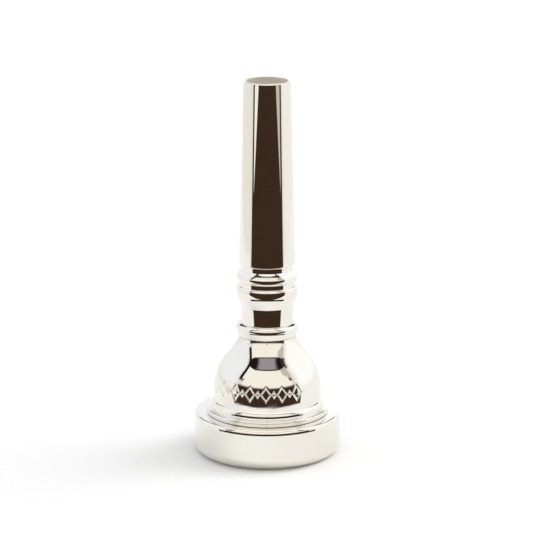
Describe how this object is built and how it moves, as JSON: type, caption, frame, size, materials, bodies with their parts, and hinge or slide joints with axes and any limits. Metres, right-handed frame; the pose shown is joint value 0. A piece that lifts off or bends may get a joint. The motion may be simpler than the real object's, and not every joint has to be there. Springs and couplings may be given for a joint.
{
  "type": "cornet mouthpiece",
  "caption": "Modular brass mouthpiece: a thick lip rim, a bell-shaped cup, turned beads and a long tapered shank, joined by screw threads with rubber seals.",
  "frame": {"origin": "centre of the rim's playing face, which is the lowest point of the part as it stands", "axes": "+Z along the bore from the rim up to the end of the shank; the part is turned about Z, and the engraved band is centred near -Y"},
  "size_m": [0.0278, 0.0278, 0.0718],
  "materials": {
    "plated_rim": "brass with polished silver plate",
    "plated_cup": "brass with polished silver plate, lightly engraved",
    "plated_backbore": "brass with polished silver plate",
    "seal_rubber": "smooth black nitrile rubber"
  },
  "bodies": {
    "rim": {"rim": "plated_rim"},
    "rim_seal": {"rim_o_ring": "seal_rubber"},
    "cup": {"cup": "plated_cup"},
    "backbore_seal": {"backbore_o_ring": "seal_rubber"},
    "backbore": {"backbore": "plated_backbore"}
  },
  "joints": [
    {"name": "rim_thread_lift", "type": "slide", "parent": "rim", "child": "rim_seal", "axis": [0, 0, 1], "range_m": [0, 0.003]},
    {"name": "rim_thread_turn", "type": "hinge", "parent": "rim_seal", "child": "cup", "pos_m": [0, 0, 0.005], "axis": [0, 0, 1], "range_deg": [0, 1082]},
    {"name": "backbore_thread_lift", "type": "slide", "parent": "cup", "child": "backbore_seal", "axis": [0, 0, 1], "range_m": [0, 0.005]},
    {"name": "backbore_thread_turn", "type": "hinge", "parent": "backbore_seal", "child": "backbore", "pos_m": [0, 0, 0.018], "axis": [0, 0, 1], "range_deg": [0, 1442]}
  ],
  "couplings": [
    {"joint": "rim_thread_turn", "follows": "rim_thread_lift", "rad_per_m": 6283.2},
    {"joint": "backbore_thread_turn", "follows": "backbore_thread_lift", "rad_per_m": 5026.5}
  ]
}
